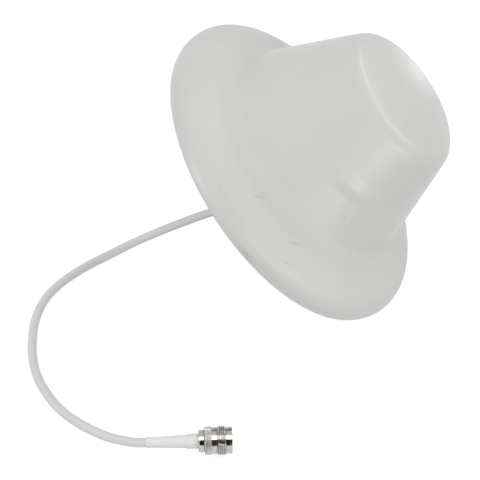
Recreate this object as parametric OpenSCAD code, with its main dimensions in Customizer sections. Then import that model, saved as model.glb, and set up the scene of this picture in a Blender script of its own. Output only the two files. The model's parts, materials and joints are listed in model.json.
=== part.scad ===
// Indoor ceiling antenna of a cellular signal booster, standing on its brim and leaning back on its own coax pigtail.
// Units are millimetres. Z is up and the table is at z = 0. The antenna's own parts are drawn along the dome's axis,
// with z = 0 at the rear face that meets the ceiling, and place_antenna() leans them over and sets them on the table.

/* [Radome] */
// Radius of the point where the brim's rounded edge starts
brim_arc_centre = 67.3; // [66:0.1:69]
// Radial size of the brim's rounded edge
brim_arc_width = 25.7; // [24:0.1:28]
// Height of the brim's rounded edge above its widest point
brim_arc_height = 17.2; // [16:0.1:19]
// Height of the brim's widest point above the rear face
brim_widest_height = 6; // [5:0.1:7]
// Radius of the crown where its side meets the top of the brim
crown_base_radius = 66.3; // [65:0.1:67]
// Angle between the crown's side and the dome's axis
crown_side_angle = 21.74; // [20.5:0.01:22.5]
// Radius of the rounded shoulder of the crown
crown_shoulder_radius = 11; // [9:0.1:13]
// Height of the centre of the shoulder's arc above the rear face
crown_shoulder_height = 78.5; // [76:0.1:80]
// Radius of the slightly domed top
crown_top_radius = 130; // [110:1:200]
// Thickness of the radome's wall
radome_wall = 2.2; // [1.8:0.1:2.6]

/* [Base plate and mounting] */
// Thickness of the base plate
base_thickness = 3; // [2.5:0.1:3.5]
// Outer radius of the mounting stud's thread
stud_crest_radius = 12; // [11.8:0.1:13]
// Root radius of the mounting stud's thread
stud_root_radius = 10.8; // [10.5:0.1:11]
// Length of the mounting stud behind the rear face
stud_length = 24; // [24:1:26]
// Radius of the cable passage through the stud
stud_bore_radius = 8.2; // [8:0.1:9]
// Gap for the ceiling panel between the base plate and the washer
panel_gap = 12; // [10:0.5:12]
// Thickness of the mounting nut
nut_thickness = 8; // [6:0.5:8]
// Width of the mounting nut across its flats
nut_across_flats = 36; // [34:1:42]

/* [Antenna element] */
// Radius of the ground plane disc
ground_radius = 70; // [66:1:70]
// Radius of the radiator cone at its wide end
cone_top_radius = 36; // [32:1:37]
// Height of the wide end of the radiator cone above the rear face
cone_top_height = 62; // [56:1:64]
// Number of shorting straps round the radiator
strap_count = 3; // [2:1:4]

/* [Pigtail] */
// Diameter of the coax cable
cable_diameter = 5; // [4.8:0.1:5.2]
// Length of the heat-shrink sleeve behind the connector
sleeve_length = 27; // [24:1:30]

/* [Resting pose] */
// Angle between the dome's axis and straight up
lean_angle = 47; // [45:1:49]

/* [Hidden] */
$fn = 96;

// Overshoot of a cutting shape past the face it cuts
cut = 0.5;

// Radome
arc_steps = 12;
brim_rear_angle = -asin(brim_widest_height / brim_arc_height);
brim_blend_angle = 75;
crown_blend_length = 6;
rim_radius = brim_arc_centre + brim_arc_width * cos(brim_rear_angle);
shoulder_centre_radius = crown_base_radius
    - (crown_shoulder_height - crown_base_height()) * tan(crown_side_angle)
    - crown_shoulder_radius / cos(crown_side_angle);
top_centre_height = crown_shoulder_height
    - sqrt(pow(crown_top_radius - crown_shoulder_radius, 2) - pow(shoulder_centre_radius, 2));
top_arc_angle = asin(shoulder_centre_radius / (crown_top_radius - crown_shoulder_radius));
radome_boss_radius = 4.2;
radome_boss_top = 20.2;

// Base plate
base_clearance = 0.5;
base_radius = brim_arc_centre
    + (brim_arc_width - radome_wall) * cos(asin(brim_widest_height / (brim_arc_height - radome_wall)))
    - base_clearance;
base_lip_height = 6;
base_lip_inset = 1.2;
base_lip_thickness = 2;
base_screw_circle = 76;
base_screw_count = 4;
base_pad_radius = 6;
base_pad_height = 5.5;
screw_head_recess_radius = 3.8;
screw_head_seat = 2.7;
screw_radius = 1.6;
screw_head_radius = 3.3;
screw_head_height = 2.2;
base_screw_tip = 16;
rib_count = 8;
rib_width = 1.6;
rib_height = 6.5;
rib_inner_radius = 11;
rib_outer_radius = 84;
stud_pitch = 2;
stud_collar_radius = 13;
stud_collar_height = 7;
stud_relief = 2.2;
stud_land = 0.3;
ground_boss_circle = 60;
ground_boss_radius = 4;
ground_boss_count = 4;
ground_boss_turn = 45;

// Mounting washer and nut
washer_thickness = 1.5;
washer_bore_radius = stud_crest_radius + 0.4;
washer_outer_radius = 24;
nut_bore_radius = stud_crest_radius + 0.15;
nut_chamfer = 1.2;

// Grommet in the end of the stud
grommet_inside = 4;
grommet_flange_radius = 10.2;
grommet_flange = 1.5;

// Antenna element
sheet_thickness = 1;
ground_height = 10;
ground_top = ground_height + sheet_thickness;
collar_radius = 5;
collar_flange_radius = 9;
collar_flange = 2;
collar_bottom = 5.5;
collar_top = 15;
collar_nut_thickness = 3;
collar_nut_radius = 7.5;
insulator_radius = 3;
cone_bottom = 17;
cone_bottom_radius = 6;
cone_wall = 0.8;
cap_radius = cone_top_radius + 1.5;
cap_thickness = 1;
strap_width = 7;
strap_thickness = 0.8;
strap_radius = 41;
strap_foot_length = 9;
strap_tab_radius = 31;
rivet_circle = 33.5;
rivet_radius = 1.2;
rivet_head_radius = 2.2;
rivet_head_height = 0.9;
strap_screw_circle = 46.5;
strap_screw_head_radius = 2.8;
strap_screw_head_height = 1.8;
strap_screw_tip = 7;
strap_screw_radius = 1.5;
ground_screw_tip = 5;

// Coax cable, from its jacket inwards
cable_radius = cable_diameter / 2;
braid_radius = 1.9;
dielectric_radius = 1.45;
conductor_radius = 0.45;
lead_top = 5;
braid_top = 10;
dielectric_top = 13;
conductor_top = 15;
pin_top = 19.5;

// Connector, with z = 0 at its front face and the cable behind it
jack_crest_radius = 7.94;
jack_root_radius = 7.3;
jack_pitch = 1.058;
jack_land = 0.2;
jack_thread_turns = 4;
jack_lip_radius = 7.05;
jack_lip_length = 3.2;
jack_thread_length = 4.8;
jack_band_radius = 7;
jack_band_length = 2.5;
jack_knurl_radius = 7.25;
jack_knurl_length = 4;
jack_knurl_chamfer = 0.4;
jack_body_length = jack_lip_length + jack_thread_length + jack_band_length + jack_knurl_length;
jack_bore_radius = 4.2;
jack_bore_depth = 9;
jack_entry_chamfer = 0.4;
jack_insulator_length = 3;
contact_radius = 1.5;
contact_hole_radius = 0.83;
contact_tip_depth = 5;
contact_hole_depth = 4.5;
contact_slot_width = 0.35;
contact_slot_depth = 3.5;
rear_nut_radius = 5.95;
rear_nut_length = 3.2;
rear_nut_chamfer = 0.6;
connector_length = jack_body_length + rear_nut_length;
ferrule_length = 5.5;
ferrule_outer_radius = 3.4;
sleeve_wall_small = 0.35;
sleeve_radius_cable = cable_radius + sleeve_wall_small;
sleeve_radius_middle = 3.35;
sleeve_radius_ferrule = 3.9;
sleeve_step = 1.2;

// Pose on the table
dome_axis = [sin(lean_angle), 0, cos(lean_angle)];
rear_face_centre_height = rim_radius * sin(lean_angle);
antenna_front = shoulder_centre_radius * cos(lean_angle)
    + crown_shoulder_height * sin(lean_angle)
    + crown_shoulder_radius;
antenna_back = -rim_radius * cos(lean_angle);
antenna_shift = -(antenna_front + antenna_back) / 2;
connector_heading = 10.5;

// Middle of the free cable, from the grommet over the table to the heat-shrink sleeve
cable_end = [-66, -161.6, 8];
drawn_route = [
    [-32.75, 0, 49.44], [-36.4, 0, 46.1], [-48, 0, 39.6], [-62, 0, 32.4], [-75, 0, 25],
    [-88.5, -0.5, 17.2], [-101.5, -1.7, 9.6], [-108, -3.5, 6.2], [-114, -6.5, 3.8],
    [-119.5, -10.8, 2.7], [-125, -16.5, 2.5], [-134.5, -29, 2.5], [-142.5, -43.5, 2.5],
    [-146, -57, 2.5], [-146.5, -71, 2.5], [-144.5, -86, 2.5], [-141, -100.5, 2.5],
    [-135.5, -114, 2.5], [-128, -126, 2.5], [-117, -138.5, 2.5], [-104.5, -147.5, 2.6],
    [-91.5, -154.5, 3.4], [-84.7, -157.4, 4.4], [-78, -159.8, 5.8], [-71.2, -161.5, 7.2],
    cable_end
];
cable_sides = 8;

// The cable's first points move with the grommet when a dimension of the dome changes
following_points = 9;
grommet_end = [antenna_shift, 0, rear_face_centre_height] - dome_axis * (stud_length + grommet_flange);
route = [
    for (i = [0 : len(drawn_route) - 1])
        drawn_route[i] + (grommet_end - drawn_route[0]) * max(0, 1 - i / following_points)
];

function crown_base_height() = brim_widest_height + brim_arc_height;

function arc(centre, size, from, to, steps) = [
    for (i = [0 : steps])
        let (a = from + (to - from) * i / steps)
            [centre[0] + size[0] * cos(a), centre[1] + size[1] * sin(a)]
];

function blend(start, middle, end, steps) = [
    for (i = [1 : steps - 1])
        let (t = i / steps)
            start * pow(1 - t, 2) + middle * 2 * t * (1 - t) + end * t * t
];

function line_crossing(p, u, q, v) =
    p + u * ((q[0] - p[0]) * v[1] - (q[1] - p[1]) * v[0]) / (u[0] * v[1] - u[1] * v[0]);

// Outline of the radome from its rear rim to its apex, moved inwards by a depth
function radome_outline(depth) =
    let (
        width = brim_arc_width - depth,
        height = brim_arc_height - depth,
        rear = -asin(brim_widest_height / height),
        centre = [brim_arc_centre, brim_widest_height],
        brim = arc(centre, [width, height], rear, brim_blend_angle, arc_steps),
        brim_slope = [-width * sin(brim_blend_angle), height * cos(brim_blend_angle)],
        side_slope = [-sin(crown_side_angle), cos(crown_side_angle)],
        side_foot = [crown_base_radius - depth / cos(crown_side_angle), crown_base_height()],
        corner = line_crossing(brim[arc_steps], brim_slope, side_foot, side_slope),
        side_start = corner + side_slope * crown_blend_length,
        shoulder = arc(
            [shoulder_centre_radius, crown_shoulder_height],
            (crown_shoulder_radius - depth) * [1, 1],
            crown_side_angle, 90 - top_arc_angle, arc_steps
        ),
        top = arc(
            [0, top_centre_height], (crown_top_radius - depth) * [1, 1],
            90 - top_arc_angle, 90, arc_steps / 2
        )
    )
    concat(
        brim,
        blend(brim[arc_steps], corner, side_start, arc_steps / 2),
        [side_start],
        shoulder,
        [for (i = [1 : len(top) - 1]) top[i]]
    );

function backwards(points) = [for (i = [len(points) - 1 : -1 : 0]) points[i]];

// Outline of a thread made of separate rings, going up from a height
function ring_thread(root, crest, pitch, land, turns, height) = [
    for (i = [0 : turns - 1], p = [
        [root, 0], [crest, (pitch - land) / 2], [crest, (pitch + land) / 2]
    ])
        [p[0], height + i * pitch + p[1]]
];

module place_antenna() {
    translate([antenna_shift, 0, rear_face_centre_height])
        rotate([0, lean_angle, 0])
            children();
}

module place_connector() {
    translate(cable_end)
        rotate([0, 90, connector_heading])
            translate([0, 0, sleeve_length + connector_length])
                children();
}

module around(count, radius, turn) {
    for (i = [0 : count - 1])
        rotate([0, 0, turn + i * 360 / count])
            translate([radius, 0, 0])
                children();
}

module tube(outer, inner, bottom, top) {
    difference() {
        translate([0, 0, bottom])
            cylinder(r = outer, h = top - bottom);
        translate([0, 0, bottom - cut])
            cylinder(r = inner, h = top - bottom + 2 * cut);
    }
}

// Screw with its head below and its tip above
module screw(head_radius, head_height, shank_radius, seat, tip) {
    slot_width = head_radius * 0.3;
    slot_length = head_radius * 1.3;
    slot_depth = head_height * 0.5;
    difference() {
        translate([0, 0, seat - head_height])
            cylinder(r = head_radius, h = head_height);
        for (turn = [0, 90])
            rotate([0, 0, turn])
                translate([-slot_length / 2, -slot_width / 2, seat - head_height - cut])
                    cube([slot_length, slot_width, slot_depth + cut]);
    }
    translate([0, 0, seat])
        cylinder(r = shank_radius, h = tip - seat);
}

// Screw with its head above and its tip below
module hanging_screw(head_radius, head_height, shank_radius, seat, tip) {
    mirror([0, 0, 1])
        screw(head_radius, head_height, shank_radius, -seat, -tip);
}

module radome() {
    color([0.87, 0.87, 0.86])
        place_antenna()
            difference() {
                union() {
                    rotate_extrude()
                        polygon(concat(radome_outline(0), backwards(radome_outline(radome_wall))));
                    around(base_screw_count, base_screw_circle, 0)
                        translate([0, 0, base_pad_height])
                            cylinder(r = radome_boss_radius, h = radome_boss_top - base_pad_height);
                }
                around(base_screw_count, base_screw_circle, 0)
                    cylinder(r = screw_radius, h = base_screw_tip);
            }
}

module base_plate() {
    stud_turns = floor((stud_length - stud_relief) / stud_pitch);
    stud_thread_start = -stud_relief - stud_turns * stud_pitch;
    lip_outer = base_radius - base_lip_inset;
    color([0.8, 0.8, 0.79])
        place_antenna()
            difference() {
                union() {
                    cylinder(r = base_radius, h = base_thickness);
                    tube(lip_outer, lip_outer - base_lip_thickness, base_thickness / 2, base_lip_height);
                    around(base_screw_count, base_screw_circle, 0)
                        cylinder(r = base_pad_radius, h = base_pad_height);
                    around(ground_boss_count, ground_boss_circle, ground_boss_turn)
                        translate([0, 0, base_thickness / 2])
                            cylinder(r = ground_boss_radius, h = ground_height - base_thickness / 2);
                    around(rib_count, rib_inner_radius, 180 / rib_count)
                        translate([0, -rib_width / 2, base_thickness / 2])
                            cube([rib_outer_radius - rib_inner_radius, rib_width, rib_height - base_thickness / 2]);
                    cylinder(r = stud_collar_radius, h = stud_collar_height);
                    rotate_extrude()
                        polygon(concat(
                            [[0, -stud_length], [stud_root_radius - 0.5, -stud_length]],
                            [[stud_root_radius, -stud_length + 0.5]],
                            ring_thread(
                                stud_root_radius, stud_crest_radius, stud_pitch, stud_land,
                                stud_turns - 1, stud_thread_start + stud_pitch
                            ),
                            [[stud_root_radius, -stud_relief], [stud_root_radius, base_thickness / 2]],
                            [[0, base_thickness / 2]]
                        ));
                }
                translate([0, 0, -stud_length - cut])
                    cylinder(r = stud_bore_radius, h = stud_length + stud_collar_height + 2 * cut);
                around(base_screw_count, base_screw_circle, 0) {
                    translate([0, 0, -cut])
                        cylinder(r = screw_radius, h = base_pad_height + 2 * cut);
                    translate([0, 0, -cut])
                        cylinder(r = screw_head_recess_radius, h = screw_head_seat + cut);
                }
                around(ground_boss_count, ground_boss_circle, ground_boss_turn)
                    translate([0, 0, ground_screw_tip])
                        cylinder(r = screw_radius, h = ground_height);
            }
}

module base_screws() {
    color([0.72, 0.72, 0.72])
        place_antenna()
            around(base_screw_count, base_screw_circle, 0)
                screw(screw_head_radius, screw_head_height, screw_radius, screw_head_seat, base_screw_tip);
}

module mounting_washer() {
    color([0.78, 0.78, 0.77])
        place_antenna()
            tube(washer_outer_radius, washer_bore_radius, -panel_gap - washer_thickness, -panel_gap);
}

module mounting_nut() {
    nut_top = -panel_gap - washer_thickness;
    corner_radius = nut_across_flats / 2 / cos(30);
    color([0.84, 0.84, 0.83])
        place_antenna()
            difference() {
                intersection() {
                    translate([0, 0, nut_top - nut_thickness])
                        cylinder(r = corner_radius, h = nut_thickness, $fn = 6);
                    rotate_extrude()
                        polygon([
                            [0, nut_top],
                            [corner_radius - nut_chamfer * 1.6, nut_top],
                            [corner_radius + 0.1, nut_top - nut_chamfer],
                            [corner_radius + 0.1, nut_top - nut_thickness + nut_chamfer],
                            [corner_radius - nut_chamfer * 1.6, nut_top - nut_thickness],
                            [0, nut_top - nut_thickness]
                        ]);
                }
                translate([0, 0, nut_top - nut_thickness - cut])
                    cylinder(r = nut_bore_radius, h = nut_thickness + 2 * cut);
            }
}

module cable_grommet() {
    color([0.82, 0.82, 0.81])
        place_antenna() {
            tube(stud_bore_radius, cable_radius, -stud_length, -stud_length + grommet_inside);
            tube(grommet_flange_radius, cable_radius, -stud_length - grommet_flange, -stud_length);
        }
}

module ground_plane() {
    color([0.77, 0.78, 0.79])
        place_antenna()
            difference() {
                translate([0, 0, ground_height])
                    cylinder(r = ground_radius, h = sheet_thickness);
                cylinder(r = collar_radius, h = ground_top + cut);
                around(ground_boss_count, ground_boss_circle, ground_boss_turn)
                    cylinder(r = screw_radius, h = ground_top + cut);
                around(strap_count, strap_screw_circle, 0)
                    cylinder(r = strap_screw_radius, h = ground_top + cut);
            }
}

module ground_screws() {
    color([0.72, 0.72, 0.72])
        place_antenna()
            around(ground_boss_count, ground_boss_circle, ground_boss_turn)
                hanging_screw(screw_head_radius, screw_head_height, screw_radius, ground_top, ground_screw_tip);
}

module feed_collar() {
    color([0.78, 0.66, 0.38])
        place_antenna()
            difference() {
                union() {
                    translate([0, 0, collar_bottom])
                        cylinder(r = collar_radius - 1, h = collar_top - collar_bottom);
                    translate([0, 0, ground_height - collar_flange])
                        cylinder(r = collar_flange_radius - 1.5, h = collar_flange);
                    translate([0, 0, ground_height - collar_flange / 2])
                        cylinder(r = collar_radius, h = collar_top - ground_height + collar_flange / 2);
                }
                translate([0, 0, collar_bottom - cut])
                    cylinder(r = braid_radius, h = braid_top - collar_bottom + cut);
                translate([0, 0, braid_top])
                    cylinder(r = insulator_radius, h = collar_top);
            }
}

module collar_nut() {
    color([0.8, 0.69, 0.42])
        place_antenna()
            difference() {
                translate([0, 0, ground_top])
                    cylinder(r = collar_nut_radius, h = collar_nut_thickness, $fn = 6);
                translate([0, 0, ground_top - cut])
                    cylinder(r = collar_radius, h = collar_nut_thickness + 2 * cut);
            }
}

module feed_insulator() {
    color([0.93, 0.93, 0.92])
        place_antenna()
            tube(insulator_radius, dielectric_radius, braid_top, cone_bottom);
}

module feed_pin() {
    color([0.82, 0.7, 0.4])
        place_antenna()
            difference() {
                translate([0, 0, dielectric_top])
                    cylinder(r = dielectric_radius, h = pin_top - dielectric_top);
                translate([0, 0, dielectric_top - cut])
                    cylinder(r = conductor_radius, h = conductor_top - dielectric_top + cut);
            }
}

module radiator_cone() {
    color([0.78, 0.5, 0.34])
        place_antenna()
            rotate_extrude()
                polygon([
                    [dielectric_radius, cone_bottom],
                    [cone_bottom_radius, cone_bottom],
                    [cone_top_radius, cone_top_height - cone_wall],
                    [cone_top_radius, cone_top_height],
                    [cone_top_radius - cone_wall, cone_top_height],
                    [cone_bottom_radius - cone_wall / 2, cone_bottom + cone_wall],
                    [dielectric_radius, cone_bottom + cone_wall]
                ]);
}

module radiator_cap() {
    color([0.8, 0.52, 0.36])
        place_antenna()
            difference() {
                translate([0, 0, cone_top_height])
                    cylinder(r = cap_radius, h = cap_thickness);
                around(strap_count, rivet_circle, 0)
                    cylinder(r = rivet_radius, h = cone_top_height + cap_thickness + cut);
            }
}

module shorting_straps() {
    tab_top = cone_top_height + cap_thickness + strap_thickness;
    color([0.77, 0.49, 0.33])
        place_antenna()
            difference() {
                around(strap_count, 0, 0)
                    rotate([90, 0, 0])
                        linear_extrude(height = strap_width, center = true)
                            polygon([
                                [strap_radius, ground_top],
                                [strap_radius + strap_foot_length, ground_top],
                                [strap_radius + strap_foot_length, ground_top + strap_thickness],
                                [strap_radius + strap_thickness, ground_top + strap_thickness],
                                [strap_radius + strap_thickness, tab_top],
                                [strap_tab_radius, tab_top],
                                [strap_tab_radius, tab_top - strap_thickness],
                                [strap_radius, tab_top - strap_thickness]
                            ]);
                around(strap_count, rivet_circle, 0)
                    cylinder(r = rivet_radius, h = tab_top + cut);
                around(strap_count, strap_screw_circle, 0)
                    cylinder(r = strap_screw_radius, h = tab_top);
            }
}

module strap_rivets() {
    tab_top = cone_top_height + cap_thickness + strap_thickness;
    color([0.7, 0.7, 0.7])
        place_antenna()
            around(strap_count, rivet_circle, 0) {
                translate([0, 0, cone_top_height])
                    cylinder(r = rivet_radius, h = tab_top - cone_top_height + rivet_head_height);
                translate([0, 0, tab_top])
                    cylinder(r = rivet_head_radius, h = rivet_head_height);
            }
}

module strap_screws() {
    color([0.72, 0.72, 0.72])
        place_antenna()
            around(strap_count, strap_screw_circle, 0)
                hanging_screw(
                    strap_screw_head_radius, strap_screw_head_height, strap_screw_radius,
                    ground_top + strap_thickness, strap_screw_tip
                );
}

module coax_lead() {
    lead_bottom = -stud_length - grommet_flange;
    color([0.86, 0.86, 0.85])
        place_antenna()
            translate([0, 0, lead_bottom])
                cylinder(r = cable_radius, h = lead_top - lead_bottom);
}

module coax_braid() {
    color([0.7, 0.71, 0.72])
        place_antenna()
            tube(braid_radius, dielectric_radius, lead_top, braid_top);
}

module coax_dielectric() {
    color([0.95, 0.95, 0.94])
        place_antenna()
            tube(dielectric_radius, conductor_radius, lead_top, dielectric_top);
}

module coax_conductor() {
    color([0.8, 0.5, 0.3])
        place_antenna()
            translate([0, 0, lead_top])
                cylinder(r = conductor_radius, h = conductor_top - lead_top);
}

function unit(v) = v / norm(v);

// Direction of the route at a point; its two ends lie along the dome's axis and the connector
function route_direction(i) =
    i == 0 ? -dome_axis :
    i == len(route) - 1 ? [cos(connector_heading), sin(connector_heading), 0] :
    unit(unit(route[i + 1] - route[i]) + unit(route[i] - route[i - 1]));

function cable_ring(i) =
    let (
        along = route_direction(i),
        side = unit(cross(along, [0, 0, 1])),
        up = cross(side, along)
    ) [
        for (k = [0 : cable_sides - 1])
            let (a = k * 360 / cable_sides)
                route[i] + cable_radius * (side * cos(a) + up * sin(a))
    ];

module pigtail_cable() {
    last = len(route) - 1;
    points = [for (i = [0 : last], p = cable_ring(i)) p];
    walls = [
        for (i = [0 : last - 1], k = [0 : cable_sides - 1])
            let (
                here = i * cable_sides,
                next = here + cable_sides,
                turned = (k + 1) % cable_sides
            )
            each [[here + k, here + turned, next + k], [here + turned, next + turned, next + k]]
    ];
    start_cap = [for (k = [cable_sides - 1 : -1 : 0]) k];
    end_cap = [for (k = [0 : cable_sides - 1]) last * cable_sides + k];
    color([0.86, 0.86, 0.85])
        polyhedron(points = points, faces = concat([start_cap], walls, [end_cap]));
}

module coax_tail() {
    color([0.86, 0.86, 0.85])
        place_connector()
            translate([0, 0, -connector_length - sleeve_length]) {
                cylinder(r = cable_radius, h = sleeve_length - ferrule_length);
                cylinder(r = dielectric_radius, h = sleeve_length + rear_nut_length);
            }
}

module heat_shrink_sleeve() {
    sleeve_end = -connector_length;
    sleeve_start = sleeve_end - sleeve_length;
    step_end = sleeve_end - ferrule_length;
    color([0.92, 0.92, 0.91])
        place_connector()
            rotate_extrude()
                polygon([
                    [cable_radius, sleeve_start],
                    [sleeve_radius_cable, sleeve_start],
                    [sleeve_radius_middle, step_end - sleeve_step],
                    [sleeve_radius_ferrule, step_end],
                    [sleeve_radius_ferrule, sleeve_end],
                    [ferrule_outer_radius, sleeve_end],
                    [ferrule_outer_radius, sleeve_end - ferrule_length],
                    [cable_radius, sleeve_end - ferrule_length]
                ]);
}

module crimp_ferrule() {
    color([0.75, 0.74, 0.7])
        place_connector()
            difference() {
                translate([0, 0, -connector_length - ferrule_length])
                    cylinder(r = ferrule_outer_radius, h = ferrule_length);
                translate([0, 0, -connector_length - ferrule_length - cut])
                    cylinder(r = dielectric_radius, h = ferrule_length + 2 * cut);
            }
}

module connector_rear_nut() {
    nut_end = -connector_length;
    color([0.79, 0.77, 0.72])
        place_connector()
            rotate_extrude()
                polygon([
                    [dielectric_radius, nut_end],
                    [rear_nut_radius - rear_nut_chamfer, nut_end],
                    [rear_nut_radius, nut_end + rear_nut_chamfer],
                    [rear_nut_radius, nut_end + rear_nut_length],
                    [dielectric_radius, nut_end + rear_nut_length]
                ]);
}

module connector_body() {
    thread_front = -jack_lip_length;
    thread_back = thread_front - jack_thread_length;
    rings_back = thread_front - jack_thread_turns * jack_pitch;
    band_back = thread_back - jack_band_length;
    color([0.8, 0.78, 0.73])
        place_connector()
            difference() {
                rotate_extrude()
                    polygon(concat(
                        [
                            [0, -jack_body_length],
                            [jack_knurl_radius - jack_knurl_chamfer, -jack_body_length],
                            [jack_knurl_radius, -jack_body_length + jack_knurl_chamfer],
                            [jack_knurl_radius, band_back - jack_knurl_chamfer],
                            [jack_band_radius, band_back],
                            [jack_band_radius, thread_back],
                            [jack_root_radius, thread_back]
                        ],
                        ring_thread(
                            jack_root_radius, jack_crest_radius, jack_pitch, jack_land,
                            jack_thread_turns, rings_back
                        ),
                        [
                            [jack_root_radius, thread_front],
                            [jack_lip_radius, thread_front],
                            [jack_lip_radius, -jack_entry_chamfer],
                            [jack_lip_radius - jack_entry_chamfer, 0],
                            [0, 0]
                        ]
                    ));
                translate([0, 0, -jack_bore_depth - jack_insulator_length])
                    cylinder(r = jack_bore_radius, h = jack_bore_depth + jack_insulator_length + cut);
                translate([0, 0, -jack_body_length - cut])
                    cylinder(r = contact_radius, h = jack_body_length);
            }
}

module connector_insulator() {
    color([0.95, 0.95, 0.94])
        place_connector()
            tube(
                jack_bore_radius, contact_radius,
                -jack_bore_depth - jack_insulator_length, -jack_bore_depth
            );
}

module connector_contact() {
    slot_bottom = -contact_tip_depth - contact_slot_depth;
    color([0.83, 0.71, 0.4])
        place_connector()
            difference() {
                translate([0, 0, -jack_body_length])
                    cylinder(r = contact_radius, h = jack_body_length - contact_tip_depth);
                translate([0, 0, -contact_tip_depth - contact_hole_depth])
                    cylinder(r = contact_hole_radius, h = contact_hole_depth + cut);
                for (turn = [0, 90])
                    rotate([0, 0, turn])
                        translate([-contact_radius - cut, -contact_slot_width / 2, slot_bottom])
                            cube([2 * (contact_radius + cut), contact_slot_width, contact_slot_depth + cut]);
            }
}

radome();
base_plate();
base_screws();
mounting_washer();
mounting_nut();
cable_grommet();
ground_plane();
ground_screws();
feed_collar();
collar_nut();
feed_insulator();
feed_pin();
radiator_cone();
radiator_cap();
shorting_straps();
strap_rivets();
strap_screws();
coax_lead();
coax_braid();
coax_dielectric();
coax_conductor();
pigtail_cable();
coax_tail();
heat_shrink_sleeve();
crimp_ferrule();
connector_rear_nut();
connector_body();
connector_insulator();
connector_contact();
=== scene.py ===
"""Indoor ceiling antenna of a cellular signal booster, leaning back on its coax pigtail on a floor."""

import json
import math

import bpy
import bmesh
from mathutils import Matrix, Vector


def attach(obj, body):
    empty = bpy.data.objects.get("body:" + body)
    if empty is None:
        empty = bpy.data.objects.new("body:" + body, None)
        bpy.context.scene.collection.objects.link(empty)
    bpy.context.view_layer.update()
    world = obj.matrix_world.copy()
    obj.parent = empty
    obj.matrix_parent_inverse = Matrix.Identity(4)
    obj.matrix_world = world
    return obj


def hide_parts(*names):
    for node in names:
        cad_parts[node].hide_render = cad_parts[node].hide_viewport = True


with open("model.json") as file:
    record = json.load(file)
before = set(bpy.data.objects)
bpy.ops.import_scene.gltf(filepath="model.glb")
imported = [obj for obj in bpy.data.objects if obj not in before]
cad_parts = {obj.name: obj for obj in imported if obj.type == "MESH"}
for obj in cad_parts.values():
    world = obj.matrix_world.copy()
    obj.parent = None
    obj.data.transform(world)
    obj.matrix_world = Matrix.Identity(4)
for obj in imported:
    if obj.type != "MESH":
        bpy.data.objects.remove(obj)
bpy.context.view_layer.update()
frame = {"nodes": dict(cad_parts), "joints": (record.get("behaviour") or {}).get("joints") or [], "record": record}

MM = 0.001
TURN = 2 * math.pi
# A smaller radius than this counts as a point on the axis
ON_AXIS_LIMIT = 1e-6

# The dome's own frame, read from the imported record: z along the dome's axis, from the rear face.
mounts = {m["name"]: m for m in frame["record"]["mounts"]}
joints = {j["name"]: j for j in frame["joints"]}
DOME_AXIS = -Vector(mounts["ceiling_face"]["axis"]).normalized()
ON_AXIS = Vector(joints["nut_turn"]["pos_m"])
FACE_POINT = Vector(mounts["ceiling_face"]["pos_m"])
REAR_CENTRE = ON_AXIS + DOME_AXIS * (FACE_POINT - ON_AXIS).dot(DOME_AXIS)

# Radome outline, in millimetres
BRIM_ARC_CENTRE = 67.3
BRIM_ARC_WIDTH = 25.7
BRIM_ARC_HEIGHT = 17.2
BRIM_WIDEST_HEIGHT = 6
CROWN_BASE_RADIUS = 66.3
CROWN_BASE_HEIGHT = BRIM_WIDEST_HEIGHT + BRIM_ARC_HEIGHT
CROWN_SIDE_ANGLE = math.radians(21.74)
CROWN_SHOULDER_RADIUS = 11
CROWN_SHOULDER_HEIGHT = 78.5
CROWN_TOP_RADIUS = 130
RADOME_WALL = 2.2
BRIM_BLEND_ANGLE = math.radians(75)
CROWN_BLEND_LENGTH = 6

# Screw bosses in the radome and the holes in them, in millimetres; heights are from the rear face
SCREW_CIRCLE = 76
SCREW_COUNT = 4
SCREW_RADIUS = 1.6
SCREW_TIP = 16
BOSS_RADIUS = 4.2
BOSS_BOTTOM = 5.5
BOSS_TOP = 20.2
# In metres: vertices nearer than this are joined after the bosses are cut in
WELD_DISTANCE = 0.000005

# Marks on the radome: heights and radii in millimetres, angles in degrees about the dome's axis
RELIEFS = [
    # middle height, half height, middle angle, half angle, rise in metres
    (54.5, 7, -86, 27, 0.001),
    (12.6, 1.2, -115, 34, 0.00025),
]
MATT_HEIGHT = 23
MATT_SPREAD = 18
MATT_GAIN = 0.25
GREY_MARK_COLOUR = (0.33, 0.33, 0.31, 1)
GREY_MARKS = [
    # measured along, its middle, half width, angle, half angle, slant, strength
    ("radius", 77.6, 4.2, -114, 0.8, 0.58, 0.45),
    ("radius", 79.5, 3.2, -91.5, 0.9, 1.35, 0.45),
    ("radius", 88.9, 1.2, -89.5, 0.9, 2.5, 0.4),
    ("height", 41.2, 1, -78, 1.2, 0, 0.4),
    # a darker patch on the skirt just under the widest point of the brim
    ("height", 3.2, 3, -101, 7, 0, 0.4),
]

# Cable and connector, in millimetres; the connector's z runs from the sleeve's start to its front face
CABLE_RADIUS = 2.5
CABLE_BEVEL_STEPS = 6
CABLE_STEPS = 12
CABLE_INSIDE_SLEEVE = 1
CONNECTOR_HEADING = math.radians(10.5)
SLEEVE_LENGTH = 27
REAR_NUT_LENGTH = 3.2
KNURL_LENGTH = 4
BAND_LENGTH = 2.5
THREAD_LENGTH = 4.8
LIP_LENGTH = 3.2
JACK_CREST = 7.94
JACK_ROOT = 7.3
JACK_PITCH = 1.058
# Shares of half a pitch: the flat root, and then the rise to the crest
JACK_ROOT_SHARE = 0.08
JACK_FLANK_SHARE = 0.78
CONNECTOR_BORE = 1.5
REAR_NUT_BORE = 1.45
REAR_NUT_RADIUS = 5.95
KNURL_ROOT = 6.85
KNURL_DEPTH = 0.4
KNURL_COUNT = 32
KNURL_PITCH = 1.4
KNURL_STEEPNESS = 2.2
BAND_RADIUS = 7
RELIEF_RADIUS = 6.8
LIP_RADIUS = 7.05
SOCKET_RADIUS = 4.2
SOCKET_DEPTH = 12

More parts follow.
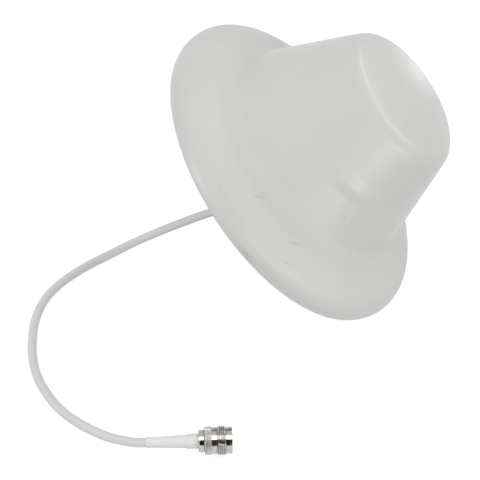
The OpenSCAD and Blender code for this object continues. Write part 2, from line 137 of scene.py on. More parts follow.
# Heat-shrink sleeve, in millimetres: it thickens along the cable and steps up over the ferrule
SLEEVE_WALL = 0.35
SLEEVE_RIM = 0.12
SLEEVE_SWELL = 0.45
SLEEVE_STEP = 0.55
SLEEVE_STEP_FROM = SLEEVE_LENGTH - 7.2
SLEEVE_STEP_TO = SLEEVE_LENGTH - 5.4
SLEEVE_END_RADIUS = 3.88
SLEEVE_WIDEST = 3.89
SLEEVE_RIPPLE = 0.012
FERRULE_POCKET_RADIUS = 3.4
FERRULE_POCKET_DEPTH = 5.5

# Middle of the free cable, in millimetres, from the grommet over the floor to the heat-shrink sleeve
ROUTE = [
    (-32.75, 0, 49.44), (-36.4, 0, 46.1), (-48, 0, 39.6), (-62, 0, 32.4), (-75, 0, 25),
    (-88.5, -0.5, 17.2), (-101.5, -1.7, 9.6), (-108, -3.5, 6.2), (-114, -6.5, 3.8),
    (-119.5, -10.8, 2.7), (-125, -16.5, 2.5), (-134.5, -29, 2.5), (-142.5, -43.5, 2.5),
    (-146, -57, 2.5), (-146.5, -71, 2.5), (-144.5, -86, 2.5), (-141, -100.5, 2.5),
    (-135.5, -114, 2.5), (-128, -126, 2.5), (-117, -138.5, 2.5), (-104.5, -147.5, 2.6),
    (-91.5, -154.5, 3.4), (-84.7, -157.4, 4.4), (-78, -159.8, 5.8), (-71.2, -161.5, 7.2),
    (-66, -161.6, 8),
]

# Stage, in metres, degrees and watts
WORLD_STRENGTH = 0.88
GROUND_WIDTH = 12
FLOOR_HEIGHT = -0.0002
FLOOR_GREY = 0.35
FLOOR_GLOW = 0.8
BOUNCE_HEIGHT = -0.0006
BOUNCE_GREY = 0.58
GROUND_ROUGHNESS = 0.9
CARD_GREY = 0.01
CARD_AZIMUTH = 8
CARD_ELEVATION = 26
CARD_DISTANCE = 0.06
CARD_SIZE = (0.1, 0.06)
OBJECT_MIDDLE = Vector((0, 0, 0.05))
CROWN_EDGE = Vector((0.055, 0.02, 0.126))
BRIM_EDGE = Vector((-0.052, -0.07, 0.114))
CONNECTOR_MIDDLE = Vector((-0.025, -0.154, 0.008))
ROOM_LIGHTS = [
    # name, azimuth, elevation, distance, size, power, what it faces
    ("key", -50, 35, 1.6, (1.3, 1.3), 1.6, OBJECT_MIDDLE),
    ("fill", 30, 18, 1.6, (1.2, 1.2), 3.2, OBJECT_MIDDLE),
]
# These show only in reflections
REFLECTED_LIGHTS = [
    ("shoulder_tall", 93, 30, 1.0, (0.3, 0.6), 2.6, OBJECT_MIDDLE),
    ("shoulder_wide", 132, 46, 1.0, (0.6, 0.3), 2.2, OBJECT_MIDDLE),
    ("side_spot", 42, 0, 0.8, (0.5, 0.1), 1.8, OBJECT_MIDDLE),
    ("rim_spot", 160, -12, 0.4, (0.05, 0.05), 0.035, CROWN_EDGE),
    ("brim_spot", -71, -2, 0.4, (0.05, 0.05), 0.25, BRIM_EDGE),
    ("connector_box", 8, 69, 0.08, (0.1, 0.046), 0.04, CONNECTOR_MIDDLE),
]


def direction(azimuth, elevation):
    """Unit vector; azimuth 0 points along -y and turns towards +x, both in degrees."""
    a = math.radians(azimuth)
    e = math.radians(elevation)
    return Vector((math.sin(a) * math.cos(e), -math.cos(a) * math.cos(e), math.sin(e)))


# ---------------------------------------------------------------- camera

CAMERA_TARGET = Vector((-0.0361, -0.0267, 0.0383))
CAMERA_DISTANCE = 1.0
CAMERA_AZIMUTH = 8.13
CAMERA_ELEVATION = 39
CAMERA_LENS = 133
SENSOR_WIDTH = 36


def make_camera():
    data = bpy.data.cameras.new("camera")
    data.lens = CAMERA_LENS
    data.sensor_width = SENSOR_WIDTH
    camera = bpy.data.objects.new("camera", data)
    bpy.context.scene.collection.objects.link(camera)
    back = direction(CAMERA_AZIMUTH, CAMERA_ELEVATION)
    camera.location = CAMERA_TARGET + back * CAMERA_DISTANCE
    camera.rotation_euler = (-back).to_track_quat("-Z", "Y").to_euler()
    bpy.context.scene.camera = camera


# ---------------------------------------------------------------- meshes

def antenna_matrix():
    """Carries the dome's own frame, in millimetres, into the row frame."""
    across = Vector((0, 1, 0))
    forward = across.cross(DOME_AXIS).normalized()
    turned = Matrix((forward, across, DOME_AXIS)).transposed().to_4x4()
    return Matrix.Translation(REAR_CENTRE) @ turned @ Matrix.Scale(MM, 4)


def connector_matrix():
    """Carries the connector's frame, in millimetres, into the row frame."""
    start = Vector(ROUTE[-1]) * MM
    turned = Matrix.Rotation(CONNECTOR_HEADING, 4, "Z") @ Matrix.Rotation(math.pi / 2, 4, "Y")
    return Matrix.Translation(start) @ turned @ Matrix.Scale(MM, 4)


def add_piece(name, bm, place, material, body, sharp=35):
    """Makes an object of a bmesh, in the row frame, riding on a body."""
    bmesh.ops.transform(bm, matrix=place, verts=bm.verts)
    bmesh.ops.recalc_face_normals(bm, faces=bm.faces)
    mesh = bpy.data.meshes.new(name)
    bm.to_mesh(mesh)
    bm.free()
    mesh.shade_smooth()
    mesh.set_sharp_from_angle(angle=math.radians(sharp))
    mesh.materials.append(material)
    piece = bpy.data.objects.new(name, mesh)
    bpy.context.scene.collection.objects.link(piece)
    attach(piece, body)
    return piece


def surface_of_rows(bm, rows):
    """Joins rings of vertices, last to first too. A row of one vertex is a point on the axis."""
    for low, high in zip(rows, rows[1:] + rows[:1]):
        count = max(len(low), len(high))
        if count == 1:
            continue
        for i in range(count):
            j = (i + 1) % count
            corners = [
                low[i % len(low)], low[j % len(low)],
                high[j % len(high)], high[i % len(high)],
            ]
            face = []
            for corner in corners:
                if corner not in face:
                    face.append(corner)
            bm.faces.new(face)


def ring(bm, radius_at, height, segments):
    """One ring of vertices about z; its radius is a number, or a function of angle and height."""
    row = []
    for i in range(segments):
        angle = TURN * i / segments
        radius = radius_at(angle, height) if callable(radius_at) else radius_at
        row.append(bm.verts.new((radius * math.cos(angle), radius * math.sin(angle), height)))
    return row


def lathe(bm, outline, segments):
    """Turns a closed outline of (radius, height) about z."""
    rows = []
    for radius, height in outline:
        if radius < ON_AXIS_LIMIT:
            rows.append([bm.verts.new((0, 0, height))])
        else:
            rows.append(ring(bm, radius, height, segments))
    surface_of_rows(bm, rows)


def turned_relief(bm, stations, segments):
    """Turns a closed outline of (height, radius), where a radius may be a function."""
    surface_of_rows(bm, [ring(bm, radius_at, height, segments) for height, radius_at in stations])


def arc(centre, size, start, end, steps):
    """Points along an arc of an ellipse, from a start angle to an end angle."""
    return [
        (
            centre[0] + size[0] * math.cos(start + (end - start) * i / steps),
            centre[1] + size[1] * math.sin(start + (end - start) * i / steps),
        )
        for i in range(steps + 1)
    ]


def radome_outline(depth, steps):
    """Outline of the radome from its rear rim to its apex, moved inwards by a depth."""
    width = BRIM_ARC_WIDTH - depth
    height = BRIM_ARC_HEIGHT - depth
    rear = -math.asin(BRIM_WIDEST_HEIGHT / height)
    brim = arc(
        (BRIM_ARC_CENTRE, BRIM_WIDEST_HEIGHT), (width, height),
        rear, BRIM_BLEND_ANGLE, steps * 2,
    )
    shoulder_radius = (
        CROWN_BASE_RADIUS
        - (CROWN_SHOULDER_HEIGHT - CROWN_BASE_HEIGHT) * math.tan(CROWN_SIDE_ANGLE)
        - CROWN_SHOULDER_RADIUS / math.cos(CROWN_SIDE_ANGLE)
    )
    reach = CROWN_TOP_RADIUS - CROWN_SHOULDER_RADIUS
    top_height = CROWN_SHOULDER_HEIGHT - math.sqrt(reach ** 2 - shoulder_radius ** 2)
    top_angle = math.asin(shoulder_radius / reach)
    brim_slope = Vector((-width * math.sin(BRIM_BLEND_ANGLE), height * math.cos(BRIM_BLEND_ANGLE)))
    side_slope = Vector((-math.sin(CROWN_SIDE_ANGLE), math.cos(CROWN_SIDE_ANGLE)))
    foot = Vector((CROWN_BASE_RADIUS - depth / math.cos(CROWN_SIDE_ANGLE), CROWN_BASE_HEIGHT))
    last = Vector(brim[-1])
    gap = foot - last
    share = (gap.x * side_slope.y - gap.y * side_slope.x) / (
        brim_slope.x * side_slope.y - brim_slope.y * side_slope.x
    )
    corner = last + brim_slope * share
    side_start = corner + side_slope * CROWN_BLEND_LENGTH
    blend = []
    for i in range(1, steps):
        t = i / steps
        blend.append(tuple(last * (1 - t) ** 2 + corner * 2 * t * (1 - t) + side_start * t * t))
    shoulder = arc(
        (shoulder_radius, CROWN_SHOULDER_HEIGHT),
        (CROWN_SHOULDER_RADIUS - depth, CROWN_SHOULDER_RADIUS - depth),
        CROWN_SIDE_ANGLE, math.pi / 2 - top_angle, steps,
    )
    side = [
        tuple(side_start.lerp(Vector(shoulder[0]), i / steps))
        for i in range(steps)
    ]
    top = arc(
        (0, top_height), (CROWN_TOP_RADIUS - depth, CROWN_TOP_RADIUS - depth),
        math.pi / 2 - top_angle, math.pi / 2, steps,
    )
    return brim + blend + side + shoulder + top[1:-1] + [(0, top_height + CROWN_TOP_RADIUS - depth)]


# ---------------------------------------------------------------- materials

def new_material(name):
    material = bpy.data.materials.new(name)
    material.use_nodes = True
    nodes = material.node_tree.nodes
    shader = nodes["Principled BSDF"]
    return material, nodes, material.node_tree.links, shader


def noise(nodes, links, scale, detail, coordinate):
    texture = nodes.new("ShaderNodeTexNoise")
    texture.inputs["Scale"].default_value = scale
    texture.inputs["Detail"].default_value = detail
    links.new(coordinate, texture.inputs["Vector"])
    return texture.outputs["Fac"]


def ramp(nodes, links, value, low, high, first, second):
    """Maps a value from low to high onto two colours."""
    colours = nodes.new("ShaderNodeValToRGB")
    colours.color_ramp.elements[0].position = low
    colours.color_ramp.elements[0].color = (*first, 1)
    colours.color_ramp.elements[1].position = high
    colours.color_ramp.elements[1].color = (*second, 1)
    links.new(value, colours.inputs["Fac"])
    return colours.outputs["Color"]


def spread_value(nodes, links, value, low, high):
    """Maps a value from 0..1 onto low..high."""
    mapped = nodes.new("ShaderNodeMapRange")
    mapped.inputs["To Min"].default_value = low
    mapped.inputs["To Max"].default_value = high
    links.new(value, mapped.inputs["Value"])
    return mapped.outputs["Result"]


def bump(nodes, links, heights, shader):
    """Adds bumps one on another; heights are (value, strength, distance in metres)."""
    normal = None
    for value, strength, distance in heights:
        node = nodes.new("ShaderNodeBump")
        node.inputs["Strength"].default_value = strength
        node.inputs["Distance"].default_value = distance
        links.new(value, node.inputs["Height"])
        if normal:
            links.new(normal, node.inputs["Normal"])
        normal = node.outputs["Normal"]
    links.new(normal, shader.inputs["Normal"])


def moulded_plastic(name, light, dark, roughness, grain=900, grain_strength=0.12, subsurface=0.0):
    """Injection-moulded plastic: faint clouding of colour and gloss, fine grain and slow waviness."""
    material, nodes, links, shader = new_material(name)
    place = nodes.new("ShaderNodeTexCoord").outputs["Object"]
    cloud = noise(nodes, links, 14, 4, place)
    links.new(ramp(nodes, links, cloud, 0.35, 0.65, dark, light), shader.inputs["Base Color"])
    smudge = noise(nodes, links, 60, 6, place)
    satin = spread_value(nodes, links, smudge, roughness - 0.06, roughness + 0.08)
    links.new(satin, shader.inputs["Roughness"])
    fine = noise(nodes, links, grain, 3, place)
    slow = noise(nodes, links, 30, 1, place)
    bump(nodes, links, [(slow, 0.25, 0.0004), (fine, grain_strength, 0.0001)], shader)
    shader.inputs["IOR"].default_value = 1.5
    if subsurface:
        shader.inputs["Subsurface Weight"].default_value = subsurface
        shader.inputs["Subsurface Radius"].default_value = (1.0, 0.95, 0.9)
        shader.inputs["Subsurface Scale"].default_value = 0.0015
    return material


def turned_metal(name, light, dark, roughness, scratch=2500):
    """Plated or bare metal with slight tarnish, uneven polish and a very fine grain."""
    material, nodes, links, shader = new_material(name)
    place = nodes.new("ShaderNodeTexCoord").outputs["Object"]
    cloud = noise(nodes, links, 220, 5, place)
    links.new(ramp(nodes, links, cloud, 0.35, 0.7, dark, light), shader.inputs["Base Color"])
    worn = noise(nodes, links, 700, 4, place)
    polish = spread_value(nodes, links, worn, roughness - 0.05, roughness + 0.12)
    links.new(polish, shader.inputs["Roughness"])
    fine = noise(nodes, links, scratch, 3, place)
    bump(nodes, links, [(fine, 0.1, 0.00003)], shader)
    shader.inputs["Metallic"].default_value = 1
    return material


def braided(name, light, dark):
    """Tinned copper braid: small cells, with a painted highlight in their middles and painted shade between them.
    """
    material, nodes, links, shader = new_material(name)
    place = nodes.new("ShaderNodeTexCoord").outputs["Object"]
    weave = nodes.new("ShaderNodeTexVoronoi")
    weave.inputs["Scale"].default_value = 3000
    links.new(place, weave.inputs["Vector"])
    # painted highlight on the middle of each strand, painted shade in the gaps between strands
    strands_painted_shade = ramp(nodes, links, weave.outputs["Distance"], 0.2, 0.8, light, dark)
    links.new(strands_painted_shade, shader.inputs["Base Color"])
    bump(nodes, links, [(weave.outputs["Distance"], 0.5, 0.0001)], shader)
    shader.inputs["Metallic"].default_value = 1
    shader.inputs["Roughness"].default_value = 0.35
    return material


def dome_place(nodes, links):
    """Height above the rear face and distance from the axis, in millimetres, and angle in degrees."""
    local = nodes.new("ShaderNodeMapping")
    lean = math.acos(DOME_AXIS.z)
    upright = Matrix.Rotation(-lean, 4, "Y")
    local.inputs["Scale"].default_value = (1 / MM, 1 / MM, 1 / MM)
    local.inputs["Rotation"].default_value = (0, -lean, 0)
    local.inputs["Location"].default_value = -(upright @ REAR_CENTRE) / MM
    links.new(nodes.new("ShaderNodeTexCoord").outputs["Object"], local.inputs["Vector"])
    split = nodes.new("ShaderNodeSeparateXYZ")
    links.new(local.outputs["Vector"], split.inputs["Vector"])
    across = nodes.new("ShaderNodeCombineXYZ")
    links.new(split.outputs["X"], across.inputs["X"])
    links.new(split.outputs["Y"], across.inputs["Y"])
    length = nodes.new("ShaderNodeVectorMath")
    length.operation = "LENGTH"
    links.new(across.outputs["Vector"], length.inputs[0])
    turn = nodes.new("ShaderNodeMath")
    turn.operation = "ARCTAN2"
    links.new(split.outputs["Y"], turn.inputs[0])
    links.new(split.outputs["X"], turn.inputs[1])
    degrees = nodes.new("ShaderNodeMath")
    degrees.operation = "DEGREES"
    links.new(turn.outputs["Value"], degrees.inputs[0])
    return split.outputs["Z"], length.outputs["Value"], degrees.outputs["Value"]


def band(nodes, links, value, centre, width):
    """One at the centre, falling smoothly to nothing at a width to each side."""
    offset = nodes.new("ShaderNodeMath")
    offset.operation = "SUBTRACT"
    offset.inputs[1].default_value = centre
    links.new(value, offset.inputs[0])
    size = nodes.new("ShaderNodeMath")
    size.operation = "ABSOLUTE"
    links.new(offset.outputs["Value"], size.inputs[0])
    fade = nodes.new("ShaderNodeMapRange")
    fade.interpolation_type = "SMOOTHSTEP"
    fade.inputs["From Min"].default_value = width
    fade.inputs["From Max"].default_value = 0
    links.new(size.outputs["Value"], fade.inputs["Value"])
    return fade.outputs["Result"]


def product(nodes, links, first, second):
    result = nodes.new("ShaderNodeMath")
    result.operation = "MULTIPLY"
    links.new(first, result.inputs[0])
    links.new(second, result.inputs[1])
    return result.outputs["Value"]


def scaled_sum(nodes, links, value, factor, addend):
    """The value times a fixed factor, plus another value where there is one."""
    result = nodes.new("ShaderNodeMath")
    result.operation = "MULTIPLY_ADD" if addend else "MULTIPLY"
    result.inputs[1].default_value = factor
    links.new(value, result.inputs[0])
    if addend:
        links.new(addend, result.inputs[2])
    return result.outputs["Value"]


def add_reliefs(nodes, links, shader, height, angle):
    """A shallow swelling in the crown's side and a faint moulding line on the brim."""
    normal = shader.inputs["Normal"].links[0].from_socket
    for centre, width, turn, spread, rise in RELIEFS:
        level = band(nodes, links, height, centre, width)
        sector = band(nodes, links, angle, turn, spread)
        node = nodes.new("ShaderNodeBump")
        node.inputs["Strength"].default_value = 1
        node.inputs["Distance"].default_value = rise
        links.new(product(nodes, links, level, sector), node.inputs["Height"])
        links.new(normal, node.inputs["Normal"])
        normal = node.outputs["Normal"]
    links.new(normal, shader.inputs["Normal"])


def add_matt_band(nodes, links, shader, height):
    """The brim and the foot of the crown are less glossy than the rest."""
    satin = shader.inputs["Roughness"].links[0].from_socket
    level = band(nodes, links, height, MATT_HEIGHT, MATT_SPREAD)
    links.new(scaled_sum(nodes, links, level, MATT_GAIN, satin), shader.inputs["Roughness"])


def add_grey_marks(nodes, links, shader, height, radius, angle):
    """Small grey marks, each within a range of height or radius and a range of angle."""
    colour = shader.inputs["Base Color"].links[0].from_socket
    for along, centre, width, turn, spread, slant, strength in GREY_MARKS:
        source = height if along == "height" else radius
        slanted = scaled_sum(nodes, links, source, slant, angle)
        across = band(nodes, links, slanted, turn + slant * centre, spread)
        shape = product(nodes, links, band(nodes, links, source, centre, width), across)
        darker = nodes.new("ShaderNodeMix")
        darker.data_type = "RGBA"
        darker.blend_type = "MIX"
        darker.inputs["B"].default_value = GREY_MARK_COLOUR
        links.new(scaled_sum(nodes, links, shape, strength, None), darker.inputs["Factor"])
        links.new(colour, darker.inputs["A"])
        colour = darker.outputs["Result"]
    links.new(colour, shader.inputs["Base Color"])


def mark_radome(material):
    """Adds the shell's own marks to its plastic, which no other piece has."""
    nodes = material.node_tree.nodes
    links = material.node_tree.links
    shader = nodes["Principled BSDF"]
    height, radius, angle = dome_place(nodes, links)
    add_reliefs(nodes, links, shader, height, angle)
    add_matt_band(nodes, links, shader, height)
    add_grey_marks(nodes, links, shader, height, radius, angle)


WHITE_ABS = moulded_plastic(
    "white_abs", (0.655, 0.658, 0.64), (0.615, 0.62, 0.597), 0.38, subsurface=0.15,
)
mark_radome(WHITE_ABS)
BASE_ABS = moulded_plastic(
    "base_abs", (0.62, 0.62, 0.61), (0.58, 0.58, 0.57), 0.55, grain=1400, grain_strength=0.35,
)
NUT_ABS = moulded_plastic("nut_abs", (0.66, 0.66, 0.65), (0.62, 0.62, 0.61), 0.42)
SOFT_PVC = moulded_plastic("soft_pvc", (0.64, 0.64, 0.62), (0.6, 0.6, 0.58), 0.6)
JACKET = moulded_plastic("cable_jacket", (0.71, 0.71, 0.695), (0.65, 0.652, 0.64), 0.42, grain=1800)
SHRINK = moulded_plastic(
    "heat_shrink", (0.79, 0.79, 0.78), (0.75, 0.75, 0.74), 0.6, grain=2600, grain_strength=0.25,
)
PTFE = moulded_plastic("ptfe", (0.85, 0.85, 0.84), (0.8, 0.8, 0.79), 0.45, grain=3000)
NICKEL = turned_metal("nickel_plate", (0.53, 0.52, 0.495), (0.44, 0.43, 0.405), 0.12)
STEEL = turned_metal("zinc_steel", (0.66, 0.67, 0.68), (0.5, 0.51, 0.52), 0.32)
ALUMINIUM = turned_metal("aluminium_sheet", (0.78, 0.79, 0.8), (0.7, 0.71, 0.72), 0.3)
BRASS = turned_metal("brass", (0.78, 0.6, 0.3), (0.62, 0.45, 0.2), 0.25)
COPPER = turned_metal("copper_sheet", (0.82, 0.47, 0.3), (0.66, 0.34, 0.2), 0.3)
GOLD = turned_metal("gold_contact", (0.95, 0.74, 0.34), (0.85, 0.62, 0.26), 0.18)
BRAID = braided("tinned_braid", (0.75, 0.76, 0.78), (0.35, 0.35, 0.36))

CAD_MATERIALS = {
    "base_plate": BASE_ABS,
    "base_screws": STEEL,
    "mounting_washer": NUT_ABS,
    "cable_grommet": SOFT_PVC,
    "ground_plane": ALUMINIUM,
    "ground_screws": STEEL,
    "feed_collar": BRASS,
    "collar_nut": BRASS,
    "feed_insulator": PTFE,
    "feed_pin": BRASS,
    "radiator_cone": COPPER,
    "radiator_cap": COPPER,
    "shorting_straps": COPPER,
    "strap_rivets": ALUMINIUM,
    "strap_screws": STEEL,
    "coax_lead": JACKET,
    "coax_braid": BRAID,
    "coax_dielectric": PTFE,
    "coax_conductor": COPPER,
    "coax_tail": JACKET,
    "crimp_ferrule": NICKEL,
    "mounting_nut": NUT_ABS,
    "connector_insulator": PTFE,
    "connector_contact": GOLD,
}


def dress_cad_nodes():
    """Gives every CAD node that still shows its own material."""
    for name, material in CAD_MATERIALS.items():
        slots = frame["nodes"][name].material_slots
        for slot in slots:
            slot.material = material
        if not slots:
            frame["nodes"][name].data.materials.append(material)


# ---------------------------------------------------------------- pieces

def make_cable():
    """The free cable; its end runs on a little inside the sleeve."""
    curve = bpy.data.curves.new("pigtail_cord", "CURVE")
    curve.dimensions = "3D"
    curve.bevel_depth = CABLE_RADIUS * MM
    curve.bevel_resolution = CABLE_BEVEL_STEPS
    curve.resolution_u = CABLE_STEPS
    curve.use_fill_caps = True
    spline = curve.splines.new("BEZIER")
    spline.bezier_points.add(len(ROUTE) - 1)
    forward = Vector((math.cos(CONNECTOR_HEADING), math.sin(CONNECTOR_HEADING), 0))
    inside = Vector(ROUTE[-1]) + forward * CABLE_INSIDE_SLEEVE
    for point, place in zip(spline.bezier_points, ROUTE[:-1] + [inside]):
        point.co = Vector(place) * MM
        point.handle_left_type = "AUTO"
        point.handle_right_type = "AUTO"
    curve.materials.append(JACKET)
    cable = bpy.data.objects.new("pigtail_cord", curve)
    bpy.context.scene.collection.objects.link(cable)
    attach(cable, "antenna")
    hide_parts("pigtail_cable")
    return cable


def make_radome():
    """The shell, turned about the dome's axis, with screw bosses joined on and their holes cut."""
    bm = bmesh.new()
    outer = radome_outline(0, 16)
    inner = radome_outline(RADOME_WALL, 8)
    lathe(bm, outer + inner[::-1], 192)
    radome = add_piece("radome_shell", bm, antenna_matrix(), WHITE_ABS, "antenna")
    bosses = screw_posts("radome_bosses", BOSS_RADIUS, BOSS_BOTTOM, BOSS_TOP)
    holes = screw_posts("radome_holes", SCREW_RADIUS, 0, SCREW_TIP)
    for tool, operation in ((bosses, "UNION"), (holes, "DIFFERENCE")):
        cut = radome.modifiers.new(operation, "BOOLEAN")
        cut.operation = operation
        cut.solver = "EXACT"
        cut.object = tool
    view = bpy.context.evaluated_depsgraph_get()
    finished = bpy.data.meshes.new_from_object(radome.evaluated_get(view))
    radome.modifiers.clear()
    radome.data = finished
    bm = bmesh.new()
    bm.from_mesh(finished)
    bmesh.ops.remove_doubles(bm, verts=bm.verts, dist=WELD_DISTANCE)
    bm.to_mesh(finished)
    bm.free()
    finished.shade_smooth()
    finished.set_sharp_from_angle(angle=math.radians(35))
    for tool in (bosses, holes):
        bpy.data.objects.remove(tool)
    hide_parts("radome")
    return radome


def screw_posts(name, radius, bottom, top):
    """Round posts at the base screws, in the row frame, to cut or join."""
    bm = bmesh.new()
    for i in range(SCREW_COUNT):
        turn = Matrix.Rotation(TURN * i / SCREW_COUNT, 4, "Z")
        middle = Matrix.Translation((SCREW_CIRCLE, 0, (bottom + top) / 2))
        bmesh.ops.create_cone(
            bm, cap_ends=True, segments=48, radius1=radius, radius2=radius,
            depth=top - bottom, matrix=turn @ middle,
        )
    bmesh.ops.transform(bm, matrix=antenna_matrix(), verts=bm.verts)
    mesh = bpy.data.meshes.new(name)
    bm.to_mesh(mesh)
    bm.free()
    posts = bpy.data.objects.new(name, mesh)
    bpy.context.scene.collection.objects.link(posts)
    return posts


def make_sleeve():
    """Heat-shrink tube, drawn in over the cable and stepped up over the ferrule."""
    bm = bmesh.new()
    stations = [
        (0, CABLE_RADIUS),
        (0, CABLE_RADIUS + SLEEVE_WALL - SLEEVE_RIM),
        (SLEEVE_RIM, CABLE_RADIUS + SLEEVE_WALL),
    ]
    rows = 40
    for i in range(1, rows):
        height = SLEEVE_RIM + (SLEEVE_LENGTH - 2 * SLEEVE_RIM) * i / rows
        stations.append((height, sleeve_radius))
    stations += [
        (SLEEVE_LENGTH - SLEEVE_RIM, SLEEVE_END_RADIUS),
        (SLEEVE_LENGTH, SLEEVE_END_RADIUS - SLEEVE_RIM),
        (SLEEVE_LENGTH, FERRULE_POCKET_RADIUS),
        (SLEEVE_LENGTH - FERRULE_POCKET_DEPTH, FERRULE_POCKET_RADIUS),
        (SLEEVE_LENGTH - FERRULE_POCKET_DEPTH, CABLE_RADIUS),
    ]
    turned_relief(bm, stations, 64)
    sleeve = add_piece("shrink_sleeve", bm, connector_matrix(), SHRINK, "antenna")
    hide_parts("heat_shrink_sleeve")
    return sleeve


def smooth_step(low, high, value):
    """Rises smoothly from zero at low to one at high."""
    t = min(1, max(0, (value - low) / (high - low)))
    return t * t * (3 - 2 * t)


def sleeve_radius(angle, height):
    """Outer radius of the sleeve, with faint wrinkles."""
    along = height / SLEEVE_LENGTH
    radius = CABLE_RADIUS + SLEEVE_WALL + SLEEVE_SWELL * smooth_step(0.15, 0.75, along)
    radius += SLEEVE_STEP * smooth_step(SLEEVE_STEP_FROM, SLEEVE_STEP_TO, height)
    wrinkle = math.sin(height * 2.1 + 1.3 * math.sin(angle)) * math.sin(2 * angle + 0.4 * height)
    return min(radius + SLEEVE_RIPPLE * wrinkle, SLEEVE_WIDEST)


def triangle_wave(value):
    """Runs from one at whole numbers to zero halfway between them."""
    return abs((value % 1) - 0.5) * 2


def knurl_radius(angle, height):
    """Crossed grooves that leave rows of small diamonds."""
    around = KNURL_COUNT * angle / TURN
    along = height / KNURL_PITCH
    first = triangle_wave(around + along)
    second = triangle_wave(around - along)
    return KNURL_ROOT + KNURL_DEPTH * min(1, KNURL_STEEPNESS * min(first, second))


def thread_radius(angle, height):
    """A right-handed thread with flat crests and roots."""
    phase = triangle_wave(height / JACK_PITCH - angle / TURN)
    share = min(1, max(0, (phase - JACK_ROOT_SHARE) / JACK_FLANK_SHARE))
    return JACK_ROOT + (JACK_CREST - JACK_ROOT) * share


def make_rear_nut():
    """A plain ring, chamfered towards the sleeve and eased towards the knurl."""
    bm = bmesh.new()
    start = SLEEVE_LENGTH
    end = SLEEVE_LENGTH + REAR_NUT_LENGTH
    outline = [
        (REAR_NUT_BORE, start),
        (REAR_NUT_RADIUS - 0.65, start),
        (REAR_NUT_RADIUS - 0.53, start + 0.05),
        (REAR_NUT_RADIUS - 0.05, start + 0.6),
        (REAR_NUT_RADIUS, start + 0.72),
        (REAR_NUT_RADIUS, end - 0.25),
        (REAR_NUT_RADIUS - 0.15, end - 0.08),
        (REAR_NUT_RADIUS - 0.35, end),
        (REAR_NUT_BORE, end),
    ]
    lathe(bm, outline, 96)
    nut = add_piece("jack_rear_nut", bm, connector_matrix(), NICKEL, "antenna")
    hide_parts("connector_rear_nut")
    return nut


def make_connector_body():
    """One turned piece: knurled ring, smooth band, thread and lip outside, socket inside."""
    bm = bmesh.new()
    start = SLEEVE_LENGTH + REAR_NUT_LENGTH
    band = start + KNURL_LENGTH
    thread = band + BAND_LENGTH
    lip = thread + THREAD_LENGTH
    front = lip + LIP_LENGTH
    segments = 336
    knurl_rows = 32
    thread_rows = 44
    stations = [(start, CONNECTOR_BORE), (start, KNURL_ROOT - 0.35), (start + 0.12, KNURL_ROOT)]
    for i in range(knurl_rows + 1):
        height = start + 0.35 + (KNURL_LENGTH - 0.8) * i / knurl_rows
        stations.append((height, knurl_radius))
    # groove between knurl and band, then the band
    stations += [
        (band - 0.25, BAND_RADIUS - 0.1), (band - 0.2, BAND_RADIUS - 0.25),
        (band, BAND_RADIUS - 0.25), (band + 0.1, BAND_RADIUS - 0.02),
        (thread - 0.25, BAND_RADIUS), (thread - 0.08, BAND_RADIUS - 0.05),
        (thread, RELIEF_RADIUS), (thread + 0.1, RELIEF_RADIUS),
    ]
    for i in range(thread_rows + 1):
        height = thread + 0.25 + (THREAD_LENGTH - 0.5) * i / thread_rows
        stations.append((height, thread_radius))
    # groove after the thread, then the lip, the front face and the socket
    stations += [
        (lip - 0.12, RELIEF_RADIUS), (lip + 0.05, RELIEF_RADIUS),
        (lip + 0.12, LIP_RADIUS - 0.03), (front - 0.35, LIP_RADIUS),
        (front - 0.12, LIP_RADIUS - 0.08), (front, LIP_RADIUS - 0.35),
        (front, SOCKET_RADIUS + 0.3), (front - 0.25, SOCKET_RADIUS),
        (front - SOCKET_DEPTH, SOCKET_RADIUS), (front - SOCKET_DEPTH, CONNECTOR_BORE),
    ]
    turned_relief(bm, stations, segments)
    body = add_piece("jack_body", bm, connector_matrix(), NICKEL, "antenna", sharp=40)
    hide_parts("connector_body")
    return body


# ---------------------------------------------------------------- floor and light

def add_sheet(name, width, depth, grey, roughness):
    """A flat rectangle with a matt grey material of its own; returns it with its shader."""
    material, nodes, links, shader = new_material(name)
    shader.inputs["Base Color"].default_value = (grey, grey, grey, 1)
    shader.inputs["Roughness"].default_value = roughness
    shader.inputs["Specular IOR Level"].default_value = 0
    bm = bmesh.new()
    bmesh.ops.create_grid(bm, x_segments=1, y_segments=1, size=0.5)
    bmesh.ops.scale(bm, vec=(width, depth, 1), verts=bm.verts)
    mesh = bpy.data.meshes.new(name)
    bm.to_mesh(mesh)
    bm.free()
    mesh.materials.append(material)
    sheet = bpy.data.objects.new(name, mesh)
    bpy.context.scene.collection.objects.link(sheet)
    return sheet, shader


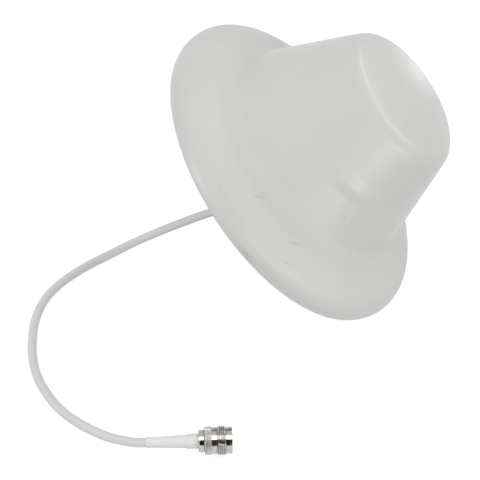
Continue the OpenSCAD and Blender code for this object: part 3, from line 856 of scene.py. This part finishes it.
def add_ground(name, height, grey, glow):
    """A level square that can glow as well as scatter light."""
    ground, shader = add_sheet(name, GROUND_WIDTH, GROUND_WIDTH, grey, GROUND_ROUGHNESS)
    shader.inputs["Emission Color"].default_value = (1, 1, 1, 1)
    shader.inputs["Emission Strength"].default_value = glow
    ground.location.z = height
    return ground


def make_floor():
    """The white floor that is seen, and a grey one under it that lights the object from below."""
    seen = add_ground("floor", FLOOR_HEIGHT, FLOOR_GREY, FLOOR_GLOW)
    seen.visible_diffuse = False
    seen.visible_shadow = False
    bounce = add_ground("bounce_floor", BOUNCE_HEIGHT, BOUNCE_GREY, 0)
    bounce.visible_camera = False
    bounce.visible_glossy = False


def make_dark_card():
    """A black card in front of the connector, seen only in reflections."""
    card, shader = add_sheet("dark_card", CARD_SIZE[0], CARD_SIZE[1], CARD_GREY, 1)
    back = direction(CARD_AZIMUTH, CARD_ELEVATION)
    card.location = CONNECTOR_MIDDLE + back * CARD_DISTANCE
    card.rotation_euler = back.to_track_quat("Z", "Y").to_euler()
    card.visible_camera = False
    card.visible_diffuse = False
    card.visible_shadow = False
    card.visible_transmission = False


def add_softbox(name, azimuth, elevation, distance, size, power, aim):
    """A rectangular light that faces a point of the object."""
    data = bpy.data.lights.new(name, "AREA")
    data.shape = "RECTANGLE"
    data.size = size[0]
    data.size_y = size[1]
    data.energy = power
    light = bpy.data.objects.new(name, data)
    back = direction(azimuth, elevation)
    light.location = aim + back * distance
    light.rotation_euler = (-back).to_track_quat("-Z", "Y").to_euler()
    light.visible_camera = False
    bpy.context.scene.collection.objects.link(light)
    return light


def light_scene():
    world = bpy.data.worlds.new("world")
    bpy.context.scene.world = world
    world.use_nodes = True
    background = world.node_tree.nodes["Background"]
    background.inputs["Color"].default_value = (1, 1, 1, 1)
    background.inputs["Strength"].default_value = WORLD_STRENGTH
    for row in ROOM_LIGHTS:
        add_softbox(*row)
    for row in REFLECTED_LIGHTS:
        add_softbox(*row).visible_diffuse = False
    bpy.context.scene.view_settings.view_transform = "Standard"


make_camera()
cable = make_cable()
make_radome()
sleeve = make_sleeve()
rear_nut = make_rear_nut()
connector_body = make_connector_body()
dress_cad_nodes()
make_floor()
make_dark_card()
light_scene()
